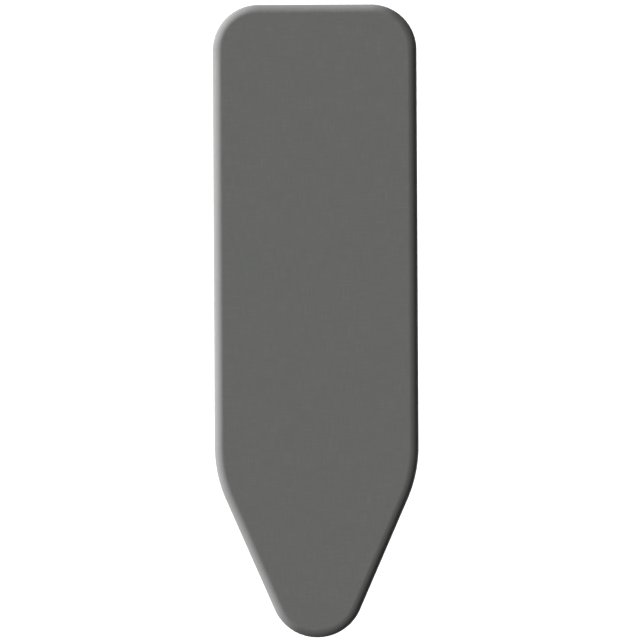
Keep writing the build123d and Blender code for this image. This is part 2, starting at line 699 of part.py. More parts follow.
def inner_bar(place, radius, bore_r):
    """A bar between the inner leg's tubes, coped round them."""
    with BuildPart() as bar:
        x_rod(-INNER_X, INNER_X, place, radius)
        for _, sign in SIDES:
            start = [p - COPE_REACH * along for p, along in zip(place, inner_along)]
            origin = (sign * INNER_X, *start)
            with BuildSketch(Plane(origin=origin, x_dir=(1, 0, 0), z_dir=(0, *inner_along))):
                Circle(LEG_R)
            extrude(amount=2 * COPE_REACH, mode=Mode.SUBTRACT)
        if bore_r:
            x_rod(-INNER_X, INNER_X, place, bore_r, mode=Mode.SUBTRACT)
    return bar


inner_top_bar = inner_bar(inner_pivot, TOP_BAR_R, 0)
inner_top_bar.part.label = "inner_top_bar"
export_step(inner_top_bar.part, "parts/inner_top_bar.step")

cross_bar_place = (
    crossing[0] + inner_along[0] * CROSS_BAR_BELOW,
    crossing[1] + inner_along[1] * CROSS_BAR_BELOW,
)
inner_cross_bar = inner_bar(cross_bar_place, CROSS_BAR_R, CROSS_BAR_R - CROSS_BAR_WALL)
inner_cross_bar.part.label = "inner_cross_bar"
export_step(inner_cross_bar.part, "parts/inner_cross_bar.step")

# ---- Slider, which the lock rod holds at any height ---------------------------------------------------

head_low_z = rail_low_z + RAIL_T + GAP
head_top_z = brace_low_z - RAIL_T - GAP
plate_y = slider_y + LUG_HALF
for side, sign in SIDES:
    with BuildPart() as slide_block:
        with BuildSketch(Plane.XZ.offset(-slider_y - BLOCK_HALF)):
            with Locations((sign * RAIL_X, (head_low_z + head_top_z) / 2)):
                Rectangle(RAIL_W - 2 * RAIL_T - 2 * GAP, head_top_z - head_low_z)
        extrude(amount=2 * BLOCK_HALF)
        with BuildSketch(Plane.XZ.offset(-slider_y - BLOCK_HALF)):
            with Locations((sign * RAIL_X, (head_low_z + lug_top_z) / 2)):
                Rectangle(RAIL_SLOT - 2 * GAP, head_low_z - lug_top_z)
        extrude(amount=2 * BLOCK_HALF)
        with BuildSketch(Plane.YZ.offset(sign * RAIL_X - LUG_W / 2)):
            with Locations(inner_pivot):
                Circle(LUG_HALF)
            with Locations((slider_y, (pivot_z + lug_top_z) / 2)):
                Rectangle(2 * LUG_HALF, lug_top_z - pivot_z)
        extrude(amount=LUG_W)
        x_rod(
            sign * RAIL_X - LUG_W, sign * RAIL_X + LUG_W, inner_pivot, TOP_BAR_R + RUNNING_FIT, Mode.SUBTRACT
        )
    slide_block.part.label = f"slide_block_{side}"
    export_step(slide_block.part, f"parts/slide_block_{side}.step")

plate_low_z = pivot_z + PLATE_ABOVE_PIVOT
plate_half = RAIL_X + LUG_W / 2
tab_top_z = rod_z + TAB_ABOVE_ROD
screw_places = [(sign * RAIL_X, (plate_low_z + lug_top_z) / 2) for _, sign in SIDES]
with BuildPart() as slider_plate:
    with BuildSketch(Plane.XZ.offset(-plate_y - PLATE_T)):
        with Locations((0, (plate_low_z + lug_top_z) / 2)):
            Rectangle(2 * plate_half, lug_top_z - plate_low_z)
        with Locations((0, (plate_low_z + tab_top_z) / 2)):
            Rectangle(2 * TAB_HALF, tab_top_z - plate_low_z)
        with Locations((0, rod_z)):
            Circle(ROD_R, mode=Mode.SUBTRACT)
        with Locations(*screw_places):
            Circle(SCREW_R, mode=Mode.SUBTRACT)
    extrude(amount=PLATE_T)
slider_plate.part.label = "slider_plate"
export_step(slider_plate.part, "parts/slider_plate.step")

with BuildPart() as plate_screws:
    for x, z in screw_places:
        with BuildSketch(Plane.XZ.offset(-plate_y - PLATE_T)):
            with Locations((x, z)):
                Circle(SCREW_R)
        extrude(amount=PLATE_T)
        with BuildSketch(Plane.XZ.offset(-plate_y - PLATE_T)):
            with Locations((x, z)):
                Circle(2 * SCREW_R)
        extrude(amount=-SCREW_HEAD_T)
plate_screws.part.label = "plate_screws"
export_step(plate_screws.part, "parts/plate_screws.step")

with BuildPart() as lock_rod:
    y_rod(plate_y - ROD_NUT_T - ROD_PAST_NUT, ROD_END_Y - ROD_CAP_END_T, ROD_R)
lock_rod.part.label = "lock_rod"
export_step(lock_rod.part, "parts/lock_rod.step")

with BuildPart() as rod_nuts:
    for rear in (plate_y, plate_y + PLATE_T + ROD_NUT_T):
        with BuildSketch(Plane.XZ.offset(-rear)):
            with Locations((0, rod_z)):
                RegularPolygon(ROD_NUT_R, 6)
                Circle(ROD_R, mode=Mode.SUBTRACT)
        extrude(amount=ROD_NUT_T)
rod_nuts.part.label = "rod_nuts"
export_step(rod_nuts.part, "parts/rod_nuts.step")

with BuildPart() as rod_end_cap:
    y_rod(ROD_END_Y - ROD_CAP_L, ROD_END_Y, ROD_CAP_R)
    fillet(rod_end_cap.edges().sort_by(Axis.Y)[-1], ROD_CAP_EDGE_R)
    y_rod(ROD_END_Y - ROD_CAP_L, ROD_END_Y - ROD_CAP_END_T, ROD_R, mode=Mode.SUBTRACT)
rod_end_cap.part.label = "rod_end_cap"
export_step(rod_end_cap.part, "parts/rod_end_cap.step")
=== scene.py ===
"""An ironing board seen from straight above. Its cover, pad, hem and small soft parts are built here round
the CAD frame, and every CAD node that stays gets its own material. Metres, in the CAD's own frame."""

import json
import math

import bmesh
import bpy
import numpy as np
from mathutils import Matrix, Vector, noise


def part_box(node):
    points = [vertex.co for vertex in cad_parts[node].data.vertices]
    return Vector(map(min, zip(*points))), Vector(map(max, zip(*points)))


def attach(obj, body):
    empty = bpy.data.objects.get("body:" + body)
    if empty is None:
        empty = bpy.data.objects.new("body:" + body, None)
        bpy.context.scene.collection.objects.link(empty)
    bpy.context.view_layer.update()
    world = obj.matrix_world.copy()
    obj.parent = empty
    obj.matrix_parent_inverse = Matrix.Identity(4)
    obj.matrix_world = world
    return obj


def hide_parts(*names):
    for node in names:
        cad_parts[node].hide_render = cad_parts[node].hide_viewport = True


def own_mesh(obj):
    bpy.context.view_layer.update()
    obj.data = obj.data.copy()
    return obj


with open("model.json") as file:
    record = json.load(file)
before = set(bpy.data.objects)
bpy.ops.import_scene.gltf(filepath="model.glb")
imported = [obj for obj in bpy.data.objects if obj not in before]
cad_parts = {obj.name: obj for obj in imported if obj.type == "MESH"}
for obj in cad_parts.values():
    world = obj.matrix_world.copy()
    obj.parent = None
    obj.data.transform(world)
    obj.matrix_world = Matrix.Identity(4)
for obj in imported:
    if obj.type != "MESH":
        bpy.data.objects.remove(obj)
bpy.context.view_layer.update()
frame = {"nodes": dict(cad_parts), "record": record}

MM = 0.001

# ---- Driving dimensions ------------------------------------------------------------------------------

# The board's outline and section
cover_low, cover_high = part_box("cover")
HALF_W, HALF_L, TOP_Z = cover_high
HEM_Z = cover_low[2]
END_CORNER_R = 87 * MM
SHOULDER_R = 251 * MM
SHOULDER_FROM_NOSE = 311 * MM
TAPER = math.radians(23.6)
EDGE_R = 15 * MM  # from the edge tube's axis out to the cover
COVER_EDGE_R = 17 * MM  # the stretched cloth and the pad round the edge wider than the tube under them
HEM_CORNER_R = TOP_Z - HEM_Z - COVER_EDGE_R
HEM_W = 30 * MM
COVER_T = 0.8 * MM
PAD_GAP = 0.5 * MM  # between the pad and the cloth over it
PAD_OFF_TUBE = 0.1 * MM
PAD_FUZZ = 0.15 * MM
FLAT_RIM = 1 * MM  # a narrow flat ring, so that the edge's shading stops where the flat top begins
TUBE_R = 8 * MM
AXIS_Z = TOP_Z - EDGE_R
OUTLINE_STEP = 2 * MM
MERGE_DIST = 5e-6

# How many rings each part of the cover and pad has. With these the cover stays under the 200,000 faces that
# the export leaves as they are.
COVER_TOP_RINGS, SIDE_RINGS, CORNER_RINGS, HEM_RINGS = 4, 13, 8, 10
PAD_TOP_RINGS, PAD_SIDE_RINGS = 6, 9

# The gathers that the elastic draws in the hem
STRAIGHT_FOLD = 26 * MM
CURVE_FOLD = 11 * MM
STRAIGHT_FOLD_DEPTH = 0.9 * MM
CURVE_FOLD_DEPTH = 3.0 * MM
PITCH_VARIES, DEPTH_VARIES = 0.25, 0.45  # the share that the folds' spacing and depth stray by
FOLD_SHARPNESS = 1.3  # above 1, the folds are narrower than the flats between them
TIGHT_CURVE = 9.0  # one over the radius, in metres, where the gathers are at their fullest
CURVE_REACH = 45 * MM
GROWN_AT_SIDE, GROWN_AT_CORNER, GROWN_AT_TAPE = 0.05, 0.35, 0.97  # share of the folds' full depth
ELASTIC_W = 6 * MM
ELASTIC_T = 1.2 * MM
ELASTIC_OFF_HEM = 0.05 * MM
ELASTIC_RIBS = 4
RIB_H = 0.2 * MM
THREAD_R = 0.22 * MM
STITCH_OUT = 0.25 * MM  # from the tape's face to the thread's middle
STITCH_TURNS = (0.8, 0.14)  # where the zigzag turns, in tape widths from the hem's inner edge

# Legs and their foot caps
LEG_R = 11 * MM
LEG_COS, LEG_SIN = math.cos(math.radians(52)), math.sin(math.radians(52))
OUTER_X, INNER_X = 112 * MM, 84 * MM
CROSS_BAR_R, TOP_BAR_R = 8 * MM, 6 * MM
CAP_R = 16 * MM
CAP_END_T = 4 * MM
CAP_LIP = 0.6 * MM
CAP_EDGE_R = 3 * MM
CAP_GROOVES = 4
FIRST_GROOVE, GROOVE_PITCH = 9 * MM, 5.2 * MM
GROOVE_W, GROOVE_DEPTH = 1.1 * MM, 0.8 * MM
# (along the cap, into it), in groove widths and depths
GROOVE_SHAPE = ((-0.7, 0), (-0.5, 0.25), (-0.35, 1), (0.35, 1), (0.5, 0.25), (0.7, 0))

# Lever grip, along the lever from its pin
LEVER_PIN = Vector((50 * MM, 194 * MM, 0))
LEVER_ANGLE = math.radians(21.8)
GRIP_START, GRIP_END = 109 * MM, 151 * MM
GRIP_HALF_W = 10 * MM
GRIP_SIDE_IN, GRIP_TOP_IN = 0.2 * MM, 0.25 * MM  # how far the grip stays inside its CAD node
FINGER_HOLLOWS, HOLLOW_DEPTH = 3, 1.7 * MM
GRIP_RIBS, GRIP_RIB_H = 13, 0.22 * MM  # ribs in the whole length, though the ends have none

# Clamp spring. Its front and rear are the outer sides of its end turns.
SPRING_FRONT, SPRING_REAR = 146.6 * MM, 176.0 * MM
SPRING_R, SPRING_WIRE_R, SPRING_TURNS = 7.9 * MM, 0.8 * MM, 8
SPRING_CLOSED_RISE = 1.65 * MM  # of an end turn, which lies against the next one

# Weld beads
WELD_R = 2.3 * MM
BEAD_SIDES = 8
FLANK_BEAD = 0.75  # thickness of a bead on a leg's flank, as a share of one round its end
SADDLE_OUT = 0.3 * MM
PUDDLE_SWELL, PUDDLE_TURN = 0.12, 2.1  # the even ripple of a bead, and its turn from point to point
PUDDLE_STRAY, STRAY_STEP = 0.18, 0.35  # the uneven part
RIM_WELD_OUT, RIM_WELD_DOWN = 0.4 * MM, 0.3 * MM
RIM_WELD_TRIM = 4 * MM
RIM_WELD_MIN_X = 20 * MM
RAIL_WELD_OUT = 0.9 * MM  # keeps the bead out of the rail's channel, where the slide block runs
RAIL_WELD_DOWN = 0.4 * MM
RAIL_WELD_HALF, RAIL_WELD_POINTS = 9 * MM, 14


# ---- Outline -----------------------------------------------------------------------------------------


def arc(centre, radius, start, end):
    """Points and outward directions along an arc, by the angle of the outward direction."""
    count = max(2, round(abs(end - start) * radius / OUTLINE_STEP))
    turns = np.linspace(start, end, count, endpoint=False)
    out = np.column_stack((np.cos(turns), np.sin(turns)))
    return np.asarray(centre) + radius * out, out


def run(start, end, turn):
    """Points and outward directions along a straight stretch."""
    start, end = np.asarray(start), np.asarray(end)
    count = max(2, round(np.linalg.norm(end - start) / OUTLINE_STEP))
    share = np.linspace(0, 1, count, endpoint=False)[:, None]
    out = np.tile((math.cos(turn), math.sin(turn)), (count, 1))
    return start + share * (end - start), out


def make_outline():
    """The outline once round, from the nose tip by +X to the square end and back by -X."""
    nose_r = (HALF_W * math.cos(TAPER) - SHOULDER_FROM_NOSE * math.sin(TAPER)) / (1 - math.sin(TAPER))
    side_start = SHOULDER_FROM_NOSE - HALF_L + SHOULDER_R * math.tan(TAPER / 2)
    nose_c = np.array((0, nose_r - HALF_L))
    shoulder_c = np.array((HALF_W - SHOULDER_R, side_start))
    corner_c = np.array((HALF_W - END_CORNER_R, HALF_L - END_CORNER_R))
    out = np.array((math.cos(TAPER), -math.sin(TAPER)))
    stretches = (
        arc(nose_c, nose_r, -math.pi / 2, -TAPER),
        run(nose_c + nose_r * out, shoulder_c + SHOULDER_R * out, -TAPER),
        arc(shoulder_c, SHOULDER_R, -TAPER, 0),
        run((HALF_W, side_start), (HALF_W, corner_c[1]), 0),
        arc(corner_c, END_CORNER_R, 0, math.pi / 2),
        run((corner_c[0], HALF_L), (0, HALF_L), math.pi / 2),
    )
    points = np.vstack([p for p, _ in stretches] + [[(0.0, HALF_L)]])
    outs = np.vstack([o for _, o in stretches] + [[(0.0, 1.0)]])
    mirror = np.array((-1.0, 1.0))
    return np.vstack((points, points[-2:0:-1] * mirror)), np.vstack((outs, outs[-2:0:-1] * mirror))


OUTLINE, OUTWARD = make_outline()
AROUND = len(OUTLINE)
STEPS = np.linalg.norm(np.roll(OUTLINE, -1, axis=0) - OUTLINE, axis=1)


def ring(inset, z):
    """One ring of points at an inset from the outline. Each may be one number or one for each point."""
    inset = np.broadcast_to(inset, AROUND)
    z = np.broadcast_to(z, AROUND)
    return np.column_stack((OUTLINE - OUTWARD * inset[:, None], z))


def spine_rings(inset, z, count):
    """Rings from an inset ring in to the board's middle line, which the last ring lies on."""
    edge = ring(inset, z)
    middle = edge.copy()
    middle[:, 0] = 0
    middle[:, 1] = np.clip(edge[:, 1], SHOULDER_R / 2 - HALF_L, HALF_L - END_CORNER_R)
    return [edge + (middle - edge) * share for share in np.linspace(0, 1, count + 1)[1:]]


def noise_round(scale, layer):
    """Smooth noise round the outline, one value a point, about -1 to 1."""
    return 2 * np.array([noise.noise(Vector((x * scale, y * scale, layer))) for x, y in OUTLINE])


# ---- Mesh helpers ------------------------------------------------------------------------------------


def mesh_object(name, vertices, faces, material, smooth=True):
    """A closed or open mesh with its doubled vertices merged and its faces turned outward."""
    mesh = bpy.data.meshes.new(name)
    mesh.from_pydata([tuple(v) for v in vertices], [], faces)
    work = bmesh.new()
    work.from_mesh(mesh)
    bmesh.ops.remove_doubles(work, verts=work.verts, dist=MERGE_DIST)
    bmesh.ops.dissolve_degenerate(work, edges=work.edges, dist=MERGE_DIST)
    bmesh.ops.recalc_face_normals(work, faces=work.faces)
    work.to_mesh(mesh)
    work.free()
    mesh.polygons.foreach_set("use_smooth", [smooth] * len(mesh.polygons))
    mesh.materials.append(material)
    made = bpy.data.objects.new(name, mesh)
    bpy.context.scene.collection.objects.link(made)
    return made


def face_up(sheet):
    """An open mesh's faces may come out either way round. This turns its largest one up."""
    if max(sheet.data.polygons, key=lambda p: p.area).normal.z < 0:
        sheet.data.flip_normals()


def loft(rings, closed_section=False):
    """Vertices and quads over rings of equal length."""
    count = len(rings[0])
    pairs = [(i, i + 1) for i in range(len(rings) - 1)]
    if closed_section:
        pairs.append((len(rings) - 1, 0))
    faces = [
        (low * count + i, low * count + (i + 1) % count, high * count + (i + 1) % count, high * count + i)
        for low, high in pairs
        for i in range(count)
    ]
    return np.vstack(rings), faces


def full_turn(count):
    """Angles once round, without the last one, which is the first again."""
    return np.linspace(0, 2 * math.pi, count, endpoint=False)


def tube(path, radius, sides, closed):
    """Vertices and faces of a round tube along a path. The radius may be one number, or one a point."""
    path = np.asarray(path, float)
    count = len(path)
    radius = np.broadcast_to(radius, count)
    if closed:
        ahead = np.roll(path, -1, axis=0) - np.roll(path, 1, axis=0)
    else:
        ahead = np.gradient(path, axis=0)
    ahead /= np.linalg.norm(ahead, axis=1)[:, None]
    side = np.cross(ahead[0], (0.31, 0.52, 0.79))
    side /= np.linalg.norm(side)
    turns = full_turn(sides)
    rings = []
    for place, along, r in zip(path, ahead, radius):
        side = side - along * side.dot(along)
        side /= np.linalg.norm(side)
        other = np.cross(along, side)
        rings.append(place + r * (np.cos(turns)[:, None] * side + np.sin(turns)[:, None] * other))
    vertices, faces = loft(rings)
    base = (count - 1) * sides
    if closed:
        # the faces between the last ring and the first are shifted so that they don't twist
        shift = min(range(sides), key=lambda k: np.abs(np.roll(rings[-1], k, axis=0) - rings[0]).sum())
        faces += [
            (base + (i - shift) % sides, base + (i + 1 - shift) % sides, (i + 1) % sides, i)
            for i in range(sides)
        ]
    else:
        faces += [tuple(range(sides)), tuple(range(base, base + sides))]
    return vertices, faces


def joined(shapes):
    """Several (vertices, faces) as one."""
    vertices, faces, base = [], [], 0
    for points, quads in shapes:
        vertices.append(points)
        faces += [tuple(i + base for i in face) for face in quads]
        base += len(points)
    return np.vstack(vertices), faces


# ---- Materials ---------------------------------------------------------------------------------------


class Surface:
    """A procedural material on one Principled shader, with textures in the object's own metres."""

    def __init__(self, name, **constants):
        self.material = bpy.data.materials.new(name)
        self.material.use_nodes = True
        self.tree = self.material.node_tree
        self.shader = self.tree.nodes["Principled BSDF"]
        self.place = self.tree.nodes.new("ShaderNodeTexCoord").outputs["Object"]
        for socket, value in constants.items():
            self.shader.inputs[socket.replace("_", " ")].default_value = value

    def node(self, kind, inputs, **settings):
        made = self.tree.nodes.new(kind)
        for key, value in settings.items():
            setattr(made, key, value)
        for socket, value in inputs.items():
            if isinstance(value, bpy.types.NodeSocket):
                self.tree.links.new(value, made.inputs[socket])
            else:
                made.inputs[socket].default_value = value
        return made

    def noise(self, scale, detail=2.0, stretch=(1, 1, 1)):
        mapped = self.node("ShaderNodeMapping", {"Vector": self.place, "Scale": stretch}).outputs[0]
        made = self.node("ShaderNodeTexNoise", {"Vector": mapped, "Scale": scale, "Detail": detail})
        return made.outputs["Fac"]

    def wave(self, direction, pitch, distortion=0.0):
        """Soft ridges across a direction, one each pitch."""
        made = self.node(
            "ShaderNodeTexWave",
            {"Vector": self.place, "Scale": math.pi / 10 / pitch, "Distortion": distortion},
            bands_direction=direction,
        )
        return made.outputs["Fac"]

    def voronoi(self, scale):
        made = self.node("ShaderNodeTexVoronoi", {"Vector": self.place, "Scale": scale})
        return made.outputs["Distance"]

    def math(self, operation, a, b):
        return self.node("ShaderNodeMath", {0: a, 1: b}, operation=operation).outputs[0]

    def span(self, value, low, high, from_low=0.3, from_high=0.7):
        """value moved from one range to another, and held inside it."""
        made = self.node(
            "ShaderNodeMapRange",
            {"Value": value, "From Min": from_low, "From Max": from_high, "To Min": low, "To Max": high},
        )
        return made.outputs[0]

    def blend(self, share, first, second):
        """The first colour where share is 0 and the second where it is 1."""
        made = self.node("ShaderNodeMix", {0: share}, data_type="RGBA")
        for index, value in ((6, first), (7, second)):
            if isinstance(value, bpy.types.NodeSocket):
                self.tree.links.new(value, made.inputs[index])
            else:
                made.inputs[index].default_value = (*value, 1)
        return made.outputs[2]

    def set(self, socket, value):
        self.tree.links.new(value, self.shader.inputs[socket])

    def bump(self, height, strength, distance):
        made = self.node("ShaderNodeBump", {"Height": height, "Strength": strength, "Distance": distance})
        self.set("Normal", made.outputs[0])


def paler(colour, share, lift):
    """A colour made lighter, for flakes, rubbed specks and rubbed edges."""
    return tuple(min(1.0, share * c + lift) for c in colour)


def cover_cloth():
    """Fine plain weave with a metallised face: one thread over, one under, with slubs."""
    s = Surface("cover_cloth", Specular_IOR_Level=0.08)
    pitch = 0.55 * MM
    over = s.node("ShaderNodeTexChecker", {"Vector": s.place, "Scale": 1 / pitch}).outputs["Fac"]
    warp, weft = s.wave("X", pitch), s.wave("Y", pitch)
    weave = s.node("ShaderNodeMix", {0: over, 2: warp, 3: weft}).outputs[0]
    slubs = s.math("ADD", s.noise(700, 2, (1, 0.04, 1)), s.noise(700, 2, (0.04, 1, 1)))
    mottle = s.span(s.noise(14, 5), 0.0, 1.0, 0.2, 0.8)
    face = s.blend(mottle, (0.1015, 0.1045, 0.0995), (0.1065, 0.1095, 0.1045))
    thread = s.blend(s.span(weave, 0.0, 1.0, 0.0, 0.8), (0.086, 0.089, 0.084), face)
    s.set("Base Color", s.blend(s.span(slubs, 0.0, 0.25, 0.95, 1.3), thread, (0.15, 0.154, 0.147)))
    s.set("Roughness", s.span(s.noise(60, 3), 0.54, 0.66))
    s.bump(s.math("ADD", weave, s.math("MULTIPLY", slubs, 0.35)), 0.16, 0.12 * MM)
    return s.material


def powder_coat(name, light, dark, roughness, metallic):
    """Baked powder coat: orange peel, slow tone changes, and a few rubbed specks."""
    s = Surface(name, Metallic=metallic, Coat_Weight=0.12, Coat_Roughness=0.25)
    tone = s.blend(s.span(s.noise(5, 4), 0.0, 1.0), dark, light)
    flakes = s.span(s.voronoi(2600), 0.0, 0.5, 0.55, 0.85)
    tone = s.blend(flakes, tone, paler(light, 1.5, 0.03))
    specks = s.span(s.noise(230, 5), 0.0, 0.7, 0.7, 0.78)
    s.set("Base Color", s.blend(specks, tone, paler(light, 2, 0.08)))
    s.set("Roughness", s.span(s.noise(60, 4), roughness - 0.05, roughness + 0.09))
    s.bump(s.noise(900, 2), 0.1, 0.06 * MM)
    return s.material


def plated(name, light, dark, roughness, stretch):
    """Bare or plated steel with fine drawn lines along one direction and faint stains."""
    s = Surface(name, Metallic=1.0)
    lines = s.noise(900, 3, stretch)
    s.set("Base Color", s.blend(s.span(s.noise(26, 5), 0.0, 1.0, 0.4, 0.72), light, dark))
    s.set("Roughness", s.span(lines, roughness - 0.05, roughness + 0.12))
    s.bump(lines, 0.1, 0.06 * MM)
    return s.material


def moulded(name, light, dark, roughness, rubbed=True):
    """Plastic with a fine spark-eroded grain, and edges rubbed paler where the mesh is fine enough for it."""
    s = Surface(name, Specular_IOR_Level=0.4)
    tone = s.blend(s.span(s.noise(30, 4), 0.0, 1.0), dark, light)
    if rubbed:
        edges = s.span(s.node("ShaderNodeNewGeometry", {}).outputs["Pointiness"], 0.0, 1.0, 0.52, 0.62)
        share = s.math("MULTIPLY", edges, s.span(s.noise(120, 4), 0.2, 1.0, 0.4, 0.62))
        tone = s.blend(share, tone, paler(light, 1.5, 0.03))
    s.set("Base Color", tone)
    s.set("Roughness", s.span(s.noise(120, 3), roughness - 0.08, roughness + 0.1))
    s.bump(s.voronoi(1500), 0.16, 0.12 * MM)
    return s.material


def pad_felt():
    """Needled felt: matted fibres with darker flecks."""
    s = Surface("pad_felt", Roughness=0.95, Sheen_Weight=0.2, Specular_IOR_Level=0.1)
    fibres = s.math("ADD", s.noise(900, 5, (1, 0.12, 1)), s.noise(900, 5, (0.12, 1, 1)))
    s.set("Base Color", s.blend(s.span(fibres, 0.0, 1.0, 0.75, 1.25), (0.42, 0.41, 0.38), (0.66, 0.65, 0.61)))
    s.bump(fibres, 0.6, 0.4 * MM)
    return s.material


def elastic_tape():
    """Knitted elastic: fine cross ribs and small tone changes."""
    s = Surface("elastic_tape", Roughness=0.85, Sheen_Weight=0.15, Specular_IOR_Level=0.15)
    ribs = s.noise(1400, 2)
    s.set("Base Color", s.blend(s.span(ribs, 0.0, 1.0), (0.035, 0.036, 0.037), (0.075, 0.076, 0.078)))
    s.bump(s.wave("DIAGONAL", 0.7 * MM, 1.5), 0.4, 0.15 * MM)
    return s.material


def sewing_thread():
    """Twisted polyester thread."""
    s = Surface("sewing_thread", Roughness=0.55)
    s.set("Base Color", s.blend(s.span(s.noise(1200, 2), 0.0, 1.0), (0.2, 0.205, 0.2), (0.3, 0.305, 0.3)))
    s.bump(s.wave("DIAGONAL", 0.35 * MM), 0.3, 0.05 * MM)
    return s.material


CLOTH, FELT, ELASTIC, THREAD = cover_cloth(), pad_felt(), elastic_tape(), sewing_thread()
FINISHES = {
    "board_steel": powder_coat("board_steel", (0.36, 0.37, 0.375), (0.33, 0.34, 0.345), 0.45, 0.0),
    "leg_steel": powder_coat("leg_steel", (0.155, 0.16, 0.165), (0.14, 0.145, 0.15), 0.38, 0.25),
    "zinc_steel": plated("zinc_steel", (0.62, 0.63, 0.62), (0.47, 0.47, 0.45), 0.34, (1, 1, 1)),
    "bright_rod": plated("bright_rod", (0.72, 0.72, 0.72), (0.6, 0.6, 0.59), 0.2, (1, 0.04, 1)),
    "cap_plastic": moulded("cap_plastic", (0.03, 0.03, 0.032), (0.021, 0.021, 0.022), 0.5),
    "guide_plastic": moulded("guide_plastic", (0.62, 0.61, 0.57), (0.59, 0.58, 0.54), 0.45, rubbed=False),
    "grip_plastic": moulded("grip_plastic", (0.045, 0.045, 0.05), (0.03, 0.03, 0.033), 0.4),
}

# ---- Cover, pad, elastic and stitching ---------------------------------------------------------------


def curve_share():
    """How tightly the outline turns at each point, 0 on the straights and 1 on the tight curves."""
    turn = np.unwrap(np.arctan2(OUTWARD[:, 1], OUTWARD[:, 0]))
    bend = np.abs(np.diff(np.append(turn, turn[0] + 2 * math.pi))) / STEPS
    reach = round(CURVE_REACH / OUTLINE_STEP)
    window = np.hanning(2 * reach + 1)
    wrapped = np.concatenate((bend[-reach:], bend, bend[:reach]))
    return np.clip(np.convolve(wrapped, window / window.sum(), mode="valid") / TIGHT_CURVE, 0, 1)


def hem_folds():
    """Height of the hem's folds round the outline: shallow on the straights, deep and close on the curves."""
    share = curve_share()
    pitch = STRAIGHT_FOLD + (CURVE_FOLD - STRAIGHT_FOLD) * share
    pitch *= 1 + PITCH_VARIES * noise_round(23, 0.3)
    turns = np.concatenate(([0.0], np.cumsum(STEPS / pitch)))
    phase = 2 * math.pi * turns[:-1] * round(turns[-1]) / turns[-1]
    depth = STRAIGHT_FOLD_DEPTH + (CURVE_FOLD_DEPTH - STRAIGHT_FOLD_DEPTH) * share
    depth *= 1 + DEPTH_VARIES * noise_round(31, 5.2)
    return np.clip(depth, 0, None) * (0.5 + 0.5 * np.sin(phase + noise_round(60, 2.7))) ** FOLD_SHARPNESS


FOLDS = hem_folds()


def hem_section():
    """(inset, z, outward and upward share of the fold's direction, how far the folds have grown)."""
    for turn in np.linspace(0, math.pi / 2, SIDE_RINGS):
        out, up = math.sin(turn), math.cos(turn)
        yield COVER_EDGE_R * (1 - out), TOP_Z - COVER_EDGE_R * (1 - up), out, up, GROWN_AT_SIDE * out**3
    for turn in np.linspace(0, math.pi / 2, CORNER_RINGS):
        out, down = math.cos(turn), math.sin(turn)
        grown = GROWN_AT_SIDE + (GROWN_AT_CORNER - GROWN_AT_SIDE) * (turn / (math.pi / 2)) ** 1.5
        yield HEM_CORNER_R * (1 - out), HEM_Z + HEM_CORNER_R * (1 - down), out, -down, grown
    for share in np.linspace(0, 1, HEM_RINGS)[1:]:
        grown = GROWN_AT_CORNER + (1 - GROWN_AT_CORNER) * math.sin(share * math.pi / 2)
        yield HEM_CORNER_R + (HEM_W - HEM_CORNER_R) * share, HEM_Z, 0.0, -1.0, grown


def under_hem(inset, drop):
    """A ring along the elastic, drop below the turned-in hem's lower face."""
    return ring(inset, HEM_Z - FOLDS * GROWN_AT_TAPE - drop)


def make_cover():
    """The cover: flat over the pad, round the edge, and gathered under it to the elastic."""
    flat_from = COVER_EDGE_R + FLAT_RIM
    rings = spine_rings(flat_from, TOP_Z, COVER_TOP_RINGS)[::-1] + [ring(flat_from, TOP_Z)]
    for inset, z, out, up, grown in hem_section():
        rings.append(ring(inset - FOLDS * grown * out, z + FOLDS * grown * up))
    cover = mesh_object("cover_cloth", *loft(rings), CLOTH)
    face_up(cover)
    thick = cover.modifiers.new("thickness", "SOLIDIFY")
    thick.thickness = COVER_T
    thick.offset = -1
    return cover


def make_pad():
    """The pad: over the steel top and round the upper half of the edge tube."""
    outer = COVER_EDGE_R - COVER_T - PAD_GAP
    outer_z = TOP_Z - COVER_EDGE_R
    inner = TUBE_R + PAD_OFF_TUBE
    fuzz = PAD_FUZZ * noise_round(400, 7.7)
    rings = spine_rings(COVER_EDGE_R, outer_z + outer, PAD_TOP_RINGS)[::-1]
    for turn in np.linspace(0, math.pi / 2, PAD_SIDE_RINGS):
        rings.append(ring(COVER_EDGE_R - outer * math.sin(turn) + fuzz, outer_z + outer * math.cos(turn)))
    for turn in np.linspace(math.pi / 2, 0, PAD_SIDE_RINGS):
        rings.append(ring(EDGE_R - inner * math.sin(turn), AXIS_Z + inner * math.cos(turn)))
    rings += spine_rings(EDGE_R, AXIS_Z + inner, PAD_TOP_RINGS)
    return mesh_object("pad_felt", *loft(rings), FELT)


def make_elastic():
    """The elastic tape under the hem's inner edge, with lengthwise ribs."""
    across = np.linspace(0, 1, 4 * ELASTIC_RIBS + 1)
    ribs = RIB_H * np.abs(np.sin(across * ELASTIC_RIBS * math.pi))
    low = [under_hem(HEM_W - ELASTIC_W * (1 - a), ELASTIC_T + r) for a, r in zip(across, ribs)]
    high = [under_hem(HEM_W - ELASTIC_W * (1 - a), ELASTIC_OFF_HEM) for a in np.linspace(1, 0, 5)]
    return mesh_object("hem_elastic_tape", *loft(low + high, closed_section=True), ELASTIC)


def make_stitches():
    """Zigzag stitching that holds the elastic to the hem."""
    near, far = (HEM_W - share * ELASTIC_W for share in STITCH_TURNS)
    path = under_hem(np.where(np.arange(AROUND) % 2 == 0, near, far), ELASTIC_T + STITCH_OUT)
    return mesh_object("hem_stitches", *tube(path, THREAD_R, 5, closed=True), THREAD)


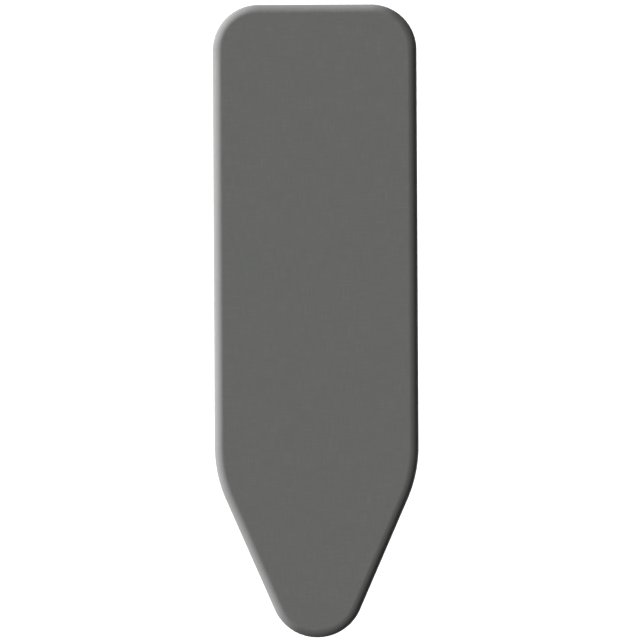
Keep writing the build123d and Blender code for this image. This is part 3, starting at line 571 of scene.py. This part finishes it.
cover, pad, elastic, stitches = make_cover(), make_pad(), make_elastic(), make_stitches()
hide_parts("cover")
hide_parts("foam_pad")
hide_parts("hem_elastic")
for piece, slot in (
    (cover, "cover_cloth"),
    (pad, "pad_foam"),
    (elastic, "hem_elastic"),
    (stitches, "hem_elastic"),
):
    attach(piece, "board")

# ---- Rigid pieces with more shape than their CAD nodes -----------------------------------------------


def lathe_x(profile, y, z, sides=72):
    """A turned piece about a line along X. profile is (x, radius) from one end round to the other."""
    turns = full_turn(sides)
    rings = [
        np.column_stack((np.full(sides, x), y + r * np.cos(turns), z + r * np.sin(turns))) for x, r in profile
    ]
    return loft(rings)


def foot_cap(node):
    """A moulded foot: grip grooves round it, a rounded end, and a flat tread on the floor."""
    low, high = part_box(node)
    sign = 1 if low[0] > 0 else -1
    mouth, end = (low[0], high[0]) if sign > 0 else (high[0], low[0])
    y = (low[1] + high[1]) / 2
    z = high[2] - CAP_R
    bore_end = end - sign * CAP_END_T
    profile = [(bore_end, 0), (bore_end, LEG_R), (mouth, LEG_R)]
    profile += [(mouth, CAP_R - CAP_LIP), (mouth + sign * CAP_LIP, CAP_R)]
    for k in range(CAP_GROOVES):
        at = mouth + sign * (FIRST_GROOVE + k * GROOVE_PITCH)
        for step, depth in GROOVE_SHAPE:
            profile.append((at + sign * step * GROOVE_W, CAP_R - GROOVE_DEPTH * depth))
    for turn in np.linspace(0, math.pi / 2, 7):
        back, down = CAP_EDGE_R * (1 - math.sin(turn)), CAP_EDGE_R * (1 - math.cos(turn))
        profile.append((end - sign * back, CAP_R - down))
    profile += [(end, CAP_R * share) for share in (0.6, 0.3, 0)]
    vertices, faces = lathe_x(profile, y, z)
    vertices[:, 2] = np.maximum(vertices[:, 2], low[2])
    return mesh_object("moulded_" + node, vertices, faces, FINISHES["cap_plastic"])


def lever_grip():
    """The lever's grip: a soft oblong with three finger hollows along its pulling side."""
    low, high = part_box("lever_grip")
    along = Vector((math.cos(LEVER_ANGLE), math.sin(LEVER_ANGLE), 0))
    across = Vector((-along.y, along.x, 0))
    half_h = (high[2] - low[2]) / 2
    middle_z = (high[2] + low[2]) / 2
    turns = full_turn(48)
    # the section is squarer than an ellipse: these are -1 to 1 across it and up it
    square_x = np.sign(np.cos(turns)) * np.abs(np.cos(turns)) ** 0.62
    square_z = np.sign(np.sin(turns)) * np.abs(np.sin(turns)) ** 0.7
    rings = []
    for share in np.linspace(0, 1, 49):
        at = 2 * share - 1
        full = max(0.0, 1 - abs(at) ** 7) ** (1 / 3)  # 1 along the grip, closing to 0 at its round ends
        hollow = 0.5 - 0.5 * math.cos(2 * FINGER_HOLLOWS * math.pi * share)
        hollow *= HOLLOW_DEPTH * (1 - at**4)
        rib = GRIP_RIB_H * (math.sin(share * 2 * GRIP_RIBS * math.pi) > 0.4) * (abs(at) < 0.72)
        wide = square_x * (GRIP_HALF_W - GRIP_SIDE_IN)
        wide = np.where(wide < 0, wide + hollow * np.abs(wide) / GRIP_HALF_W, wide)
        tall = square_z * (half_h - GRIP_TOP_IN + rib)
        base = LEVER_PIN + along * (GRIP_START + (GRIP_END - GRIP_START) * share)
        rings.append(
            np.array(base)[None, :]
            + (wide * full)[:, None] * np.array(across)
            + (tall * full + middle_z)[:, None] * np.array((0, 0, 1))
        )
    return mesh_object("moulded_lever_grip", *loft(rings), FINISHES["grip_plastic"])


def clamp_spring():
    """The coil spring round the lock rod, with a closed turn at each end."""
    rod_low, rod_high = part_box("lock_rod")
    rod_z = (rod_low[2] + rod_high[2]) / 2
    turn = np.linspace(0, SPRING_TURNS, SPRING_TURNS * 30 + 1)
    length = SPRING_REAR - SPRING_FRONT - 2 * SPRING_WIRE_R
    y = SPRING_FRONT + SPRING_WIRE_R + np.interp(
        turn,
        (0, 1, SPRING_TURNS - 1, SPRING_TURNS),
        (0, SPRING_CLOSED_RISE, length - SPRING_CLOSED_RISE, length),
    )
    angle = 2 * math.pi * turn
    path = np.column_stack((SPRING_R * np.cos(angle), y, rod_z + SPRING_R * np.sin(angle)))
    piece = mesh_object("coil_spring", *tube(path, SPRING_WIRE_R, 12, closed=False), FINISHES["bright_rod"])
    return piece, (0, SPRING_FRONT, rod_z)


for leg in ("outer", "inner"):
    for side in ("left", "right"):
        node_name = f"{leg}_foot_cap_{side}"
        cap = foot_cap(node_name)
        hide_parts(node_name)
        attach(cap, leg + "_leg")

grip = lever_grip()
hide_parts("lever_grip")
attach(grip, "lever")

spring, spring_seat = clamp_spring()
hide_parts("clamp_spring")
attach(spring, "board")
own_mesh(spring)


# ---- Weld beads --------------------------------------------------------------------------------------


def rippled(path, layer):
    """A bead's radius along its path, swelling and thinning as the puddles froze."""
    steps = np.arange(len(path))
    stray = np.array([noise.noise(Vector((s * STRAY_STEP, layer, 0))) for s in steps])
    return WELD_R * (1 + PUDDLE_SWELL * np.sin(steps * PUDDLE_TURN) + PUDDLE_STRAY * stray)


def saddle_bead(x, place, leg_along, layer):
    """A bead where a leg tube's end sits on its foot bar, which is as thick as the leg."""
    turns = full_turn(60)
    across, flat = LEG_R * np.cos(turns), LEG_R * np.sin(turns)
    reach = np.sqrt(np.maximum((LEG_R + SADDLE_OUT) ** 2 - flat**2, 0))
    y = place[0] + leg_along[0] * reach - leg_along[1] * flat
    z = place[1] + leg_along[1] * reach + leg_along[0] * flat
    path = np.column_stack((x + across, y, z))
    return tube(path, rippled(path, layer), BEAD_SIDES, closed=True)


def ring_bead(x, place, bar_r, layer):
    """A bead round a bar where it meets the flank of a leg tube."""
    turns = full_turn(44)
    aside, up = bar_r * np.cos(turns), bar_r * np.sin(turns)
    inward = -1 if x > 0 else 1
    path = np.column_stack(
        (
            x + inward * np.sqrt(LEG_R**2 - aside**2),
            place[0] + aside * LEG_SIN - up * LEG_COS,
            place[1] + up * LEG_SIN + aside * LEG_COS,
        )
    )
    return tube(path, FLANK_BEAD * rippled(path, layer), BEAD_SIDES, closed=True)


def axis_of(node):
    """(y, z) of the middle of a bar along X."""
    low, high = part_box(node)
    return (low[1] + high[1]) / 2, (low[2] + high[2]) / 2


def leg_welds(leg, x, slope_sign, bars):
    """The beads of one leg: its foot bar, then the bars between its tubes."""
    foot = axis_of(leg + "_foot_bar")
    up_the_leg = (slope_sign * LEG_COS, LEG_SIN)
    shapes = [saddle_bead(sign * x, foot, up_the_leg, layer=sign) for sign in (-1, 1)]
    for node, bar_r in bars:
        place = axis_of(node)
        shapes += [ring_bead(sign * x, place, bar_r, layer=10 + sign) for sign in (-1, 1)]
    piece = mesh_object(leg + "_leg_welds", *joined(shapes), FINISHES["leg_steel"])
    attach(piece, leg + "_leg")


leg_welds("outer", OUTER_X, 1, ())
leg_welds("inner", INNER_X, -1, (("inner_top_bar", TOP_BAR_R), ("inner_cross_bar", CROSS_BAR_R)))


def board_welds():
    """Beads that hold the braces to the edge tube, and the guide rails to the braces."""
    shapes = []
    touch_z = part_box("brace_nose")[0][2]
    reach = math.sqrt(TUBE_R**2 - (touch_z - AXIS_Z) ** 2)
    line = ring(EDGE_R + reach + RIM_WELD_OUT, touch_z - RIM_WELD_DOWN)
    for name in ("nose", "front", "middle", "lock", "pivot"):
        low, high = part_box("brace_" + name)
        beside = (line[:, 1] > low[1] + RIM_WELD_TRIM) & (line[:, 1] < high[1] - RIM_WELD_TRIM)
        for sign in (-1, 1):
            path = line[beside & (line[:, 0] * sign > RIM_WELD_MIN_X)]
            shapes.append(tube(path, rippled(path, low[1]), BEAD_SIDES, closed=False))
    for name in ("nose", "front", "middle"):
        low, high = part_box("brace_" + name)
        for side in ("left", "right"):
            rail_low, rail_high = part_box("guide_rail_" + side)
            for x in (rail_low[0] - RAIL_WELD_OUT, rail_high[0] + RAIL_WELD_OUT):
                middle = (max(low[1], rail_low[1]) + min(high[1], rail_high[1])) / 2
                y = middle + np.linspace(-1, 1, RAIL_WELD_POINTS) * RAIL_WELD_HALF
                path = np.column_stack((np.full_like(y, x), y, np.full_like(y, touch_z - RAIL_WELD_DOWN)))
                shapes.append(tube(path, rippled(path, x * 50), BEAD_SIDES, closed=False))
    piece = mesh_object("board_welds", *joined(shapes), FINISHES["board_steel"])
    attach(piece, "board")


board_welds()

# ---- Finishes of the CAD nodes -----------------------------------------------------------------------

slots = {part["node"]: part["material_slot"] for part in frame["record"]["subparts"]}
for node_name, node in frame["nodes"].items():
    finish = FINISHES.get(slots[node_name])  # the cover, pad and elastic have none, because they are replaced
    if finish:
        for slot in node.material_slots:
            slot.material = finish

# ---- Stage -------------------------------------------------------------------------------------------

FLOOR_HALF = 40.0
POOL_WHITE_R, PAINTED_SHADE_R = 1.05, 2.7  # the floor is painted white out to the one, and painted darker to grey by the other: a painted fall-off of light round the object
FLOOR_POOL_WHITE, FLOOR_PAINTED_SHADE_GREY = (0.92, 0.92, 0.92), (0.395, 0.395, 0.395)
WORLD_GREY = (0.62, 0.62, 0.62, 1)
CAMERA_ABOVE = 5.0
CAMERA_X, CAMERA_Y = 0.0076, 0.0019
CAMERA_TURN = math.radians(-0.3)  # the board lies a little askew in the picture
VIEW_SPAN = 1.2173  # width of the picture at the height of the board's widest line
VIEW_END = 100.0


def make_floor():
    """A pale floor, painted white round the object and painted darker further out as if its light fell off
    there, that can be looked through from below.
    """
    s = Surface("floor", Roughness=0.9, Specular_IOR_Level=0.0)
    flat = s.node("ShaderNodeVectorMath", {0: s.place, 1: (1, 1, 0)}, operation="MULTIPLY").outputs[0]
    far = s.node("ShaderNodeVectorMath", {0: flat}, operation="LENGTH").outputs["Value"]
    # painted shade: the floor's colour goes from white near the object to grey further out, in place of its
    # light falling off
    painted_shade = s.node(
        "ShaderNodeMapRange",
        {"Value": far, "From Min": POOL_WHITE_R, "From Max": PAINTED_SHADE_R},
        interpolation_type="SMOOTHSTEP",
    ).outputs[0]
    s.set("Base Color", s.blend(painted_shade, FLOOR_POOL_WHITE, FLOOR_PAINTED_SHADE_GREY))
    clear = s.node("ShaderNodeBsdfTransparent", {})
    below = s.node("ShaderNodeNewGeometry", {}).outputs["Backfacing"]
    both = s.node("ShaderNodeMixShader", {0: below, 1: s.shader.outputs[0], 2: clear.outputs[0]})
    s.tree.links.new(both.outputs[0], s.tree.nodes["Material Output"].inputs["Surface"])
    corners = [(x * FLOOR_HALF, y * FLOOR_HALF, 0) for x, y in ((-1, -1), (1, -1), (1, 1), (-1, 1))]
    made = mesh_object("floor", corners, [(0, 1, 2, 3)], s.material, smooth=False)
    face_up(made)
    return made


def sun(name, toward, strength, spread, piece, only_it=True):
    """Distant soft light from a direction, spread in degrees. It lights one piece alone, or all but it."""
    light = bpy.data.lights.new(name, "SUN")
    light.energy = strength
    light.angle = math.radians(spread)
    lamp = bpy.data.objects.new(name, light)
    lamp.rotation_mode = "QUATERNION"
    lamp.rotation_quaternion = Vector(toward).to_track_quat("Z", "Y")
    bpy.context.scene.collection.objects.link(lamp)
    lit = bpy.data.collections.new(name + "_lights")
    lit.objects.link(piece)
    lit.collection_objects[0].light_linking.link_state = "INCLUDE" if only_it else "EXCLUDE"
    lamp.light_linking.receiver_collection = lit
    return lamp


floor = make_floor()
sun("floor_light", (0, 0, 1), strength=3.6, spread=8, piece=floor)
sun("floor_fill_front", (0.5, -1.0, 0.7), strength=1.3, spread=70, piece=floor)
sun("floor_fill_back", (-0.5, 1.0, 0.7), strength=1.3, spread=70, piece=floor)
sun("main_light", (-0.9, 0.46, 1.0), strength=4.82, spread=20, piece=floor, only_it=False)
edge_light = sun("edge_light", (-0.88, 0.475, 0.035), strength=16.1, spread=6, piece=cover)
edge_light.data.color = (0.971, 0.929, 1.0)  # takes the cloth's green cast off its lit edge
edge_light.visible_glossy = False  # it skims the board, and would glare from across it

world = bpy.data.worlds.new("studio")
world.use_nodes = True
world.node_tree.nodes["Background"].inputs["Color"].default_value = WORLD_GREY
world.cycles_visibility.diffuse = False  # it shows as the background and in reflections only
bpy.context.scene.world = world

camera = bpy.data.objects.new("camera", bpy.data.cameras.new("camera"))
camera.data.lens = camera.data.sensor_width * CAMERA_ABOVE / VIEW_SPAN
camera.data.clip_end = VIEW_END
camera.location = (CAMERA_X, CAMERA_Y, AXIS_Z + CAMERA_ABOVE)
camera.rotation_euler = (0, 0, CAMERA_TURN)
bpy.context.scene.collection.objects.link(camera)
bpy.context.scene.camera = camera
bpy.context.scene.view_settings.view_transform = "Standard"
